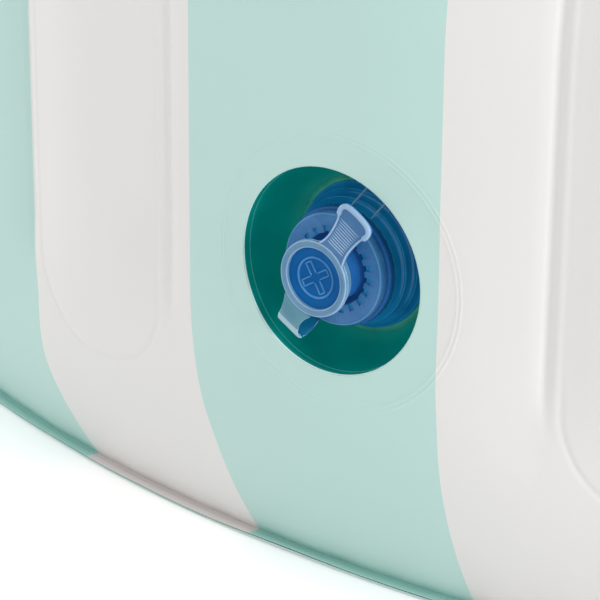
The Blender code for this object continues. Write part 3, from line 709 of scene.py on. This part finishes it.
def make_floor(material):
    """Floor film: flat under the ring, in slack ripples inside it, with the drain's hole."""
    tip = belly - crease_draw + fin_width
    radii = np.concatenate([np.linspace(0.004, 0.56, 56), np.linspace(0.57, tip - fin_width, 6),
                            tip - fin_width + fin_width * np.array([0.4, 0.8, 1.0])])
    b = np.array(around(240))[None, :]
    r = radii[:, None]
    x, y = r * np.sin(b), -r * np.cos(b)
    slack = smooth_step(r / 0.06) * (1 - smooth_step((r - 0.42) / 0.12))
    away = smooth_step((np.hypot(x, y - drain_place) - 0.03) / 0.06)
    waves = (np.sin(9 * b + 5.5 * np.sin(3.1 * r / 0.2) + 14 * r) * 0.5 + 0.5) ** 2
    cross = 0.5 + 0.5 * np.sin(19 * x + 11 * y + 1.3) * np.sin(13 * y - 7 * x)
    ripple = (0.0016 * waves * smooth_step(r / 0.3) + 0.0022 * cross) * slack * away
    edge = np.clip((r - (tip - fin_width)) / fin_width, 0, 1) ** 2
    lift = edge * lie_flat(b)
    top = at_bearing(b, r, film + ripple + lift)
    low = at_bearing(b, r, ripple + lift)
    outer_edge = top[-1:] - np.array([0, 0, film * 0.5])
    grids = [np.concatenate([grid, outer_edge]) for grid in (top, low)]
    floor = shell("floor_film", *grids, material)
    bm = bmesh.new()
    bm.from_mesh(floor.data)
    bmesh.ops.remove_doubles(bm, verts=bm.verts, dist=2e-5)
    middle = [face for face in bm.faces if all(vert.co.xy.length < 0.0045 for vert in face.verts)]
    bmesh.ops.delete(bm, geom=middle, context="FACES_ONLY")
    bmesh.ops.holes_fill(bm, edges=[edge for edge in bm.edges if edge.is_boundary])
    bm.to_mesh(floor.data)
    bm.free()
    bore = turned([(0, -0.02), (drain_bore, -0.02), (drain_bore, 0.02), (0, 0.02)], 48)
    bore.transform(Matrix.Translation((0, drain_place, 0)))
    cutter = finish_mesh("drain_bore", bore, material)
    cut = floor.modifiers.new("drain_hole", "BOOLEAN")
    cut.object = cutter
    cut.solver = "EXACT"
    bpy.context.view_layer.update()
    cut_mesh = bpy.data.meshes.new_from_object(floor.evaluated_get(bpy.context.evaluated_depsgraph_get()))
    floor.modifiers.clear()
    floor.data = cut_mesh
    bpy.data.objects.remove(cutter)
    return floor


outer_wall = make_wall("outer_wall_film", 1, striped_film)
inner_wall = make_wall("inner_wall_film", -1, striped_lining)
crown = make_crown(striped_film)
floor = make_floor(mint_film)


# Valve

neck_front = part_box("valve_base")[0].y
axis_y = neck_front + neck_height
to_pool = Matrix.Translation((0, axis_y, valve_height)) @ Matrix.Rotation(math.pi / 2, 4, "X")


def placed(name, bm, place, material, body, sharp=40):
    """Put a piece that was drawn round its own axis in its place, on its body."""
    bm.transform(place)
    made = finish_mesh(name, bm, material, sharp)
    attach(made, body)
    return made


def valve_piece(name, bm, material, body, turn=0.0, sharp=40):
    return placed(name, bm, to_pool @ Matrix.Rotation(turn, 4, "Z"), material, body, sharp)


def trim_lines(name, lines, material, body):
    """Numbered beads round the valve's axis, each with its radius, height and thickness."""
    return [valve_piece(f"{name}_{number}", hoop(circle(out, rise), thick, 8), material, body)
            for number, (out, rise, thick) in enumerate(lines, 1)]


def make_cup():
    """Bowl behind the mouth, one smooth film from its weld flange to the flat that carries the valve base."""
    angle = np.array(around(120))
    rows = []
    for out in (pocket_flange, 0.054, 0.05, 0.046, 0.0435):
        bearing = np.arcsin(out * np.cos(angle) / belly)
        behind = wall_face(1, bearing, out * np.sin(angle) + valve_height) - film * 1.5 - weld_gap
        lip = axis_y + behind * np.cos(bearing)
        rows.append((out, lip, 0, 1))
    for lean in np.linspace(0, math.pi / 2, 22):
        share = math.cos(lean) ** (2 / bowl_power)
        rise = lip * (1 - math.sin(lean) ** (2 / bowl_power))
        rows.append((bowl_floor + (mouth_radius - bowl_floor) * share, rise, math.cos(lean), math.sin(lean)))
    rows += [(out, 0 * lip, 0, 1) for out in (0.027, 0.023, 0.0199)]
    place = np.array(to_pool)
    grids = []
    for thick in (0, cup_film):
        grid = []
        for out, rise, aside, back in rows:
            reach = out + thick * aside
            grid.append(np.stack([reach * np.cos(angle), reach * np.sin(angle), rise - thick * back], -1))
        grids.append(np.array(grid) @ place[:3, :3].T + place[:3, 3])
    cup = shell("valve_pocket_cup", *grids, green_film, 60)
    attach(cup, "pool")
    trims = []
    # The lip bead's pale, glowing colour is painted light along the mouth's edge.
    for name, out, lift, thick, finish in (("mouth_lip", 0.0421, 0.0004, 0.00032, lip_painted_light_film),
                                           ("pocket_fold", 0.0418, -0.0032, 0.00022, hem_line)):
        run = [(out * math.cos(a), out * math.sin(a), z + lift) for a, z in zip(angle, lip)]
        trims.append(valve_piece(name, hoop(run, thick), finish, "pool"))
    return cup, *trims


def helix(radius, low, high, pitch=0.0032, steps=48):
    """Points of a thread's crest."""
    count = int((high - low) / pitch * steps)
    return [(radius * math.cos(2 * math.pi * k / steps), radius * math.sin(2 * math.pi * k / steps),
             low + pitch * k / steps) for k in range(count + 1)]


def make_base():
    """Stepped neck on a wide flange, with beads on the neck and a thread in the bore."""
    outline = [(0.018, 0.015), (0.0236, 0.015), (0.024, 0.0146), (0.0243, 0.0118), (0.025, 0.0112),
               (0.0256, 0.0108), (0.0258, 0.0078), (0.0264, 0.0071), (0.0273, 0.0067), (0.0277, 0.006),
               (0.0278, 0.0036), (0.0282, 0.0026), (0.0292, 0.0021), (0.0298, 0.0014), (0.0298, 0.0003),
               (0.0195, 0.0003), (0.0195, -0.01), (0.016, -0.01), (0.016, -0.0086), (0.018, -0.0086)]
    base = valve_piece("valve_base_neck", turned(eased(outline, 0.0007), 120), blue_vinyl, "pool", sharp=60)
    thread = valve_piece("base_thread", tube(helix(0.01805, 0.002, 0.0128), 0.00042, 6), blue_vinyl, "pool")
    weld = [(0.0296, 0.0001), (0.0296, 0.0011), (0.0303, 0.0017), (0.0313, 0.0013), (0.032, 0.0005),
            (0.0322, 0.0001)]
    ring = valve_piece("base_weld_ring", turned(eased(weld, 0.0003, 2), 120), pale_weld, "pool")
    # Beads on the neck's steps in a lighter blue, a painted highlight.
    lines = trim_lines("neck_line", [(0.0256, 0.0102, 0.00034), (0.0276, 0.0056, 0.00034),
                                     (0.0295, 0.002, 0.00036)], neck_highlight_blue, "pool")
    return base, thread, ring, lines


def make_tether():
    """The two thick edges of a clear strip from the neck to the pocket's side, behind the tab."""
    rails = (((0.0026, 0.0242, 0.0148), (0.0116, 0.0354, 0.0138)),
             ((0.0122, 0.0212, 0.0148), (0.0212, 0.0324, 0.0138)))
    return [valve_piece(f"tether_edge_{number}", tube(straight_run(ends, [8]), 0.0004, 8), frosted_vinyl,
                        "pool") for number, ends in enumerate(rails, 1)]


def make_insert():
    """Part that screws into the base: rim, threaded skirt, well and nozzle, with a cross inside."""
    outline = [(0.0105, 0.031), (0.0122, 0.031), (0.0122, 0.008), (0.015, 0.008), (0.015, 0.0184),
               (0.0236, 0.0184), (0.024, 0.018), (0.024, 0.0168), (0.0175, 0.0168), (0.0175, 0.002),
               (0.015, 0.002), (0.015, 0.0064), (0.0105, 0.0064)]
    body = valve_piece("valve_insert_body", turned(eased(outline, 0.00035, 2)), deep_blue, "insert")
    bead = [(0.0121, 0.0262), (0.0127, 0.0266), (0.0128, 0.0272), (0.0127, 0.0278), (0.0121, 0.0282)]
    lip = valve_piece("nozzle_bead", turned(bead), deep_blue, "insert")
    coil = tube(helix(0.01745, 0.0036, 0.0144), 0.0004, 6)
    thread = valve_piece("insert_thread", coil, deep_blue, "insert")
    # Step seen in the grip ring's notches, coloured bright and strongly glowing as painted light where shade
    # falls.
    step = [(0.0149, 0.019), (0.0149, 0.021), (0.018, 0.021), (0.018, 0.019)]
    shoulder = valve_piece("insert_shoulder", turned(step), notch_light_blue, "insert")
    arms = []
    for quarter in range(4):
        turn = Matrix.Rotation(quarter * math.pi / 2, 2)
        for corner in ((0.011, -0.0011), (0.011, 0.0011), (0.0011, 0.0011)):
            arms.append(tuple(turn @ Vector(corner)))
    cross = soften(valve_piece("nozzle_cross", raised(arms, 0.02, 0.023), deep_blue, "insert"), 0.0003)
    hub_outline = [(0.0018, 0.0196), (0.0036, 0.0196), (0.0036, 0.0234), (0.0018, 0.0234)]
    hub = valve_piece("cross_hub", turned(eased(hub_outline, 0.0003, 2), 48), deep_blue, "insert")
    return body, lip, thread, cross, hub, shoulder


def make_ring():
    """Frosted grip ring with square notches round its inner edge."""
    bm = bmesh.new()
    sections = []
    foot, top = 0.0187, 0.0225
    tip, root, rim = 0.0147, 0.0175, 0.0228
    for notch in range(ring_notches):
        start = 2 * math.pi * notch / ring_notches
        half = math.pi / ring_notches
        for share, inner in ((0, tip), (0.5, tip), (1, tip), (1.015, root), (1.5, root), (1.985, root)):
            turn = start + half * share
            side = Vector((math.cos(turn), math.sin(turn), 0))
            up = Vector((0, 0, 1))
            sections.append([bm.verts.new(side * radius + up * height) for radius, height in (
                (inner, foot), (rim - 0.0006, foot), (rim - 0.0002, foot + 0.0002), (rim, foot + 0.0006),
                (rim, top - 0.0008), (rim - 0.0002, top - 0.0003), (rim - 0.0007, top), (rim - 0.0026, top),
                (inner, top - 0.0003))])
    join_rings(bm, sections, closed=True)
    ring = soften(valve_piece("grip_ring", bm, ring_vinyl, "insert", sharp=30), 0.00026)
    # A paler bead round the top edge, a painted highlight.
    edge = hoop(circle(0.0222, 0.0224, 120), 0.00034, 8)
    return ring, valve_piece("grip_ring_edge", edge, ring_highlight_blue, "insert")


def make_check_flap():
    """Rubber flap with the stem that holds it."""
    outline = [(0, 0.005), (0.0125, 0.005), (0.0125, 0.0061), (0.0016, 0.0061), (0.0013, 0.0066),
               (0.0013, 0.0253), (0.0026, 0.0255), (0.0021, 0.0265), (0, 0.0269)]
    return valve_piece("check_flap", turned(eased(outline, 0.0002, 2), 64), seal_rubber, "flap")


def make_lid():
    """Cap: frosted rim, clear window and plug."""
    rim = [(0.0123, 0.0326), (0.0123, 0.0343), (0.0126, 0.0353), (0.0131, 0.0357), (0.0136, 0.0354),
           (0.0141, 0.0357), (0.0149, 0.0356), (0.0153, 0.035), (0.0153, 0.0334), (0.0138, 0.0334),
           (0.0138, 0.0295), (0.0126, 0.0295), (0.0126, 0.0326)]
    lid = valve_piece("cap_rim", turned(eased(rim, 0.0003, 2)), frosted_vinyl, "cap")
    window = [(0, 0.0337), (0.0088, 0.0337), (0.0098, 0.0339), (0.0123, 0.0341), (0.0123, 0.033),
              (0, 0.033)]
    pane = valve_piece("cap_window", turned(window), clear_window, "cap")
    plug = [(0, 0.0328), (0.0122, 0.0328), (0.0122, 0.0314), (0.0101, 0.0314), (0.0097, 0.0278),
            (0.0089, 0.0278), (0.0089, 0.0314), (0, 0.0314)]
    stopper = valve_piece("cap_plug", turned(eased(plug, 0.0002, 2)), deep_blue, "cap")
    # Pale beads along the rim, a painted highlight.
    lines = trim_lines("cap_rim_line", [(0.015, 0.0352, 0.00036), (0.0127, 0.0352, 0.00026),
                                        (0.0152, 0.0339, 0.00026)], pale_highlight_vinyl, "cap")
    return lid, pane, stopper, lines


def make_cap_marks():
    """Ring and cross that stand up on the plug, seen through the window."""
    ring = [(0.0076, 0.0327), (0.0076, 0.0338), (0.0079, 0.0342), (0.0083, 0.0342), (0.0086, 0.0338),
            (0.0086, 0.0327)]
    marks = [valve_piece("plug_ring", turned(eased(ring, 0.0001, 2)), mark_vinyl, "cap")]
    near, far, half, rise = 0.0016, 0.0066, 0.0013, 0.0338
    corners = [(near, half, rise), (far, half, rise), (far, -half, rise), (near, -half, rise)]
    for number in range(4):
        arm = tube(straight_run(corners, (6, 4, 6)), 0.00035, 6)
        turn = math.radians(31 + 90 * number)
        marks.append(valve_piece(f"plug_arm_{number + 1}", arm, mark_vinyl, "cap", turn))
    return marks


tab_spots = [(0.014, 0.0068), (0.0165, 0.006), (0.02, 0.0055), (0.024, 0.0057), (0.028, 0.0063),
             (0.0306, 0.0072), (0.0326, 0.0079), (0.0342, 0.0079), (0.0356, 0.007), (0.0364, 0.005),
             (0.0367, 0.0026), (0.0368, 0.0)]


def tab_half_width(out):
    return float(np.interp(out, *zip(*tab_spots)))


def make_tab():
    """Ribbed finger tab with a thick bead round its flared end."""
    # The tab's bead, hems and ribs take the pale blue, a painted highlight.
    def tab_piece(name, bm, material=pale_highlight_vinyl):
        return valve_piece(name, bm, material, "cap", tab_angle)

    side = smooth_run(tab_spots, 3)
    outline = [tuple(spot) for spot in side] + [(x, -y) for x, y in side[-2::-1]]
    plate = soften(tab_piece("cap_tab", raised(outline, tab_top - 0.0014, tab_top), tab_vinyl), 0.0004)
    end = [(x - 0.0008, y * 0.91, tab_top) for x, y in side if x > 0.03]
    bead = tab_piece("tab_bead", tube(end + [(x, -y, z) for x, y, z in end[-2::-1]], 0.0011))
    hems = []
    for number, hand in enumerate((1, -1), 1):
        run = [(x, hand * (y - 0.0004), tab_top) for x, y in side if x < 0.0308]
        hems.append(tab_piece(f"tab_hem_{number}", tube(run, 0.0004, 8)))
    ribs = []
    for number in range(11):
        out = 0.0178 + 0.00115 * number
        half = tab_half_width(out) * 0.74
        run = straight_run([(out, -half, tab_top), (out, half, tab_top)], [6])
        ribs.append(tab_piece(f"tab_rib_{number + 1:02d}", tube(run, 0.00026, 6)))
    return plate, bead, hems, ribs


def make_hinge_strap():
    """Strap of the cap: out from the rim, over its fold and back to the grip ring."""
    line = smooth_run([(0.0146, 0.0346), (0.018, 0.0348), (0.0215, 0.0344), (0.0258, 0.0329),
                       (0.029, 0.0305), (0.0301, 0.0284), (0.029, 0.0263), (0.0264, 0.024),
                       (0.0243, 0.0219), (0.0225, 0.0203)], 5)
    shares = np.linspace(0, 1, len(line))
    halves = np.interp(shares, [0, 0.1, 0.22, 0.38, 0.5, 0.62, 0.8, 1], [
        0.0072, 0.0058, 0.0051, 0.0056, 0.0063, 0.0068, 0.007, 0.006])
    fold_row, loop_row, sides = 13, 25, 16
    bm = bmesh.new()
    rings = []
    for i, spot in enumerate(line):
        along = line[min(i + 1, len(line) - 1)] - line[max(i - 1, 0)]
        along = along / np.linalg.norm(along)
        ring = []
        for a in around(sides):
            wide = math.copysign(abs(math.cos(a)) ** 0.35, math.cos(a)) * halves[i]
            thick = math.copysign(abs(math.sin(a)) ** 0.6, math.sin(a)) * 0.00055
            ring.append(bm.verts.new((spot[0] - along[1] * thick, wide, spot[1] + along[0] * thick)))
        rings.append(ring)
    join_rings(bm, rings)
    place = to_pool @ Matrix.Rotation(strap_angle, 4, "Z")
    bm.transform(place)
    strap = finish_mesh("hinge_strap", bm, strap_vinyl, 50)
    # Rows over the fold are paler, a painted highlight, and rows of the return leg darker, a painted shade.
    strap.data.materials.append(fold_highlight_vinyl)
    strap.data.materials.append(loop_shade_vinyl)
    for face in strap.data.polygons:
        row = min(face.vertices) // sides
        face.material_index = (row >= fold_row) + (row >= loop_row)
    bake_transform(strap)
    return strap


cup, mouth_lip, pocket_fold = make_cup()
base, base_thread, weld_ring, neck_lines = make_base()
tether = make_tether()
insert, nozzle_bead, insert_thread, nozzle_cross, cross_hub, shoulder = make_insert()
grip_ring, grip_edge = make_ring()
check_flap = make_check_flap()
lid, pane, stopper, rim_lines = make_lid()
cap_marks = make_cap_marks()
tab, tab_bead, tab_hems, tab_ribs = make_tab()
hinge_strap = make_hinge_strap()


# Drain

at_drain = Matrix.Translation((0, drain_place, 0))
seat_outline = [
    (0.009, 0.0075), (0.0108, 0.0075), (0.0112, 0.0071), (0.0112, 0.0024), (0.0122, 0.0021),
    (0.015, 0.0021), (0.0154, 0.0024), (0.016, 0.0021), (0.0216, 0.0019), (0.022, 0.0015),
    (0.022, 0.0009), (0.0112, 0.0009), (0.0112, 0.0), (0.009, 0.0)]
plug_outline = [
    (0, 0.0014), (0.008, 0.0014), (0.0086, 0.0078), (0.0136, 0.0078), (0.014, 0.0082), (0.014, 0.0096),
    (0.0132, 0.0102), (0.0116, 0.0102), (0.0112, 0.0098), (0, 0.0098)]
grip_outline = [(0.009, 0.0012), (-0.009, 0.0012), (-0.009, -0.0012), (0.009, -0.0012)]
seat_ring = turned(eased(seat_outline, 0.0004, 2), 64)
drain_seat = placed("drain_seat_ring", seat_ring, at_drain, drain_vinyl, "pool")
plug_head = turned(eased(plug_outline, 0.0004, 2), 64)
drain_plug = placed("drain_plug_head", plug_head, at_drain, drain_vinyl, "drain_plug")
plug_grip = soften(placed("drain_plug_grip", raised(grip_outline, 0.009, 0.016), at_drain, drain_vinyl,
                          "drain_plug"), 0.0008, 3)


# What each piece rides on, stands for and is made of

for piece in (outer_wall, inner_wall, crown, floor):
    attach(piece, "pool")
for piece, stands_for in ((outer_wall, "outer_wall"), (inner_wall, "inner_wall"), (crown, "top_band"),
                          (floor, "floor_sheet"), (cup, "valve_pocket"), (base, "valve_base"),
                          (insert, "valve_insert"), (grip_ring, "valve_ring"), (check_flap, "valve_flap"),
                          (lid, "valve_cap"), (hinge_strap, "cap_strap"), (drain_seat, "drain_seat"),
                          (drain_plug, "drain_plug")):
    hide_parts(stands_for)
for name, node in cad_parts.items():
    if name.startswith("beam_") or name == "valve_seal":
        node.data.materials.clear()
        node.data.materials.append(blue_rubber if name == "valve_seal" else beam_film)


# Stage, light and camera

def make_stage():
    """Wide pale floor that keeps the pool's shadow."""
    mesh = bpy.data.meshes.new("ground")
    reach, level = 60, -0.0002
    mesh.from_pydata([(-reach, -reach, level), (reach, -reach, level), (reach, reach, level),
                      (-reach, reach, level)], [], [(0, 1, 2, 3)])
    ground = bpy.data.objects.new("ground", mesh)
    bpy.context.scene.collection.objects.link(ground)
    material, tree, shader = new_material("pale_ground", {
        "Base Color": (0.98, 0.98, 0.98, 1), "Roughness": 0.9, "Specular IOR Level": 0.0,
        "Emission Strength": 1.0})
    seen = add(tree, "LightPath")
    lifted = mix(tree, seen.outputs["Is Camera Ray"], (0, 0, 0), (0.22, 0.22, 0.22))
    link(tree, lifted, shader, "Emission Color")
    mesh.materials.append(material)


def add_sun(name, bearing, elevation, strength, spread):
    """A wide soft light from a bearing, counted from the valve's side towards +X."""
    data = bpy.data.lights.new(name, "SUN")
    data.energy = strength
    data.angle = math.radians(spread)
    sun = bpy.data.objects.new(name, data)
    bpy.context.scene.collection.objects.link(sun)
    b, e = math.radians(bearing), math.radians(elevation)
    toward = Vector((math.sin(b) * math.cos(e), -math.cos(b) * math.cos(e), math.sin(e)))
    sun.rotation_euler = toward.to_track_quat("Z", "Y").to_euler()


def make_world():
    world = bpy.data.worlds.new("soft_room")
    bpy.context.scene.world = world
    world.use_nodes = True
    tree = world.node_tree
    tree.nodes.clear()
    seen = add(tree, "LightPath")
    straight = add(tree, "Math", {0: seen.outputs["Is Camera Ray"], 1: seen.outputs["Is Glossy Ray"]},
                   operation="MAXIMUM")
    through = add(tree, "Math", {0: straight.outputs[0], 1: seen.outputs["Is Transmission Ray"]},
                  operation="MAXIMUM")
    strength = ramp(tree, through.outputs[0], 0.0, 1.0, 0.8, 1.0)
    glow = add(tree, "Background", {"Color": (1, 1, 1, 1), "Strength": strength})
    out = add(tree, "OutputWorld")
    tree.links.new(glow.outputs[0], out.inputs["Surface"])


def make_camera():
    """The photograph's own view, close on the valve's side."""
    place = (0.5373, -1.5174, 0.5021)
    pan, down, roll = 36.124, 21.614, 0.484
    data = bpy.data.cameras.new("photo_view")
    data.lens = 155.18
    data.sensor_width = 36
    camera = bpy.data.objects.new("photo_view", data)
    bpy.context.scene.collection.objects.link(camera)
    camera.matrix_world = (Matrix.Translation(place) @ Matrix.Rotation(math.radians(pan), 4, "Z")
                           @ Matrix.Rotation(math.radians(90 - down), 4, "X")
                           @ Matrix.Rotation(math.radians(roll), 4, "Z"))
    bpy.context.scene.camera = camera


make_stage()
make_world()
add_sun("right_lamp", 86, 10, 2.1, 20)
add_sun("left_lamp", -92, 10, 0.95, 20)
add_sun("top_lamp", -50, 48, 0.25, 80)
make_camera()
bpy.context.scene.view_settings.view_transform = "Standard"
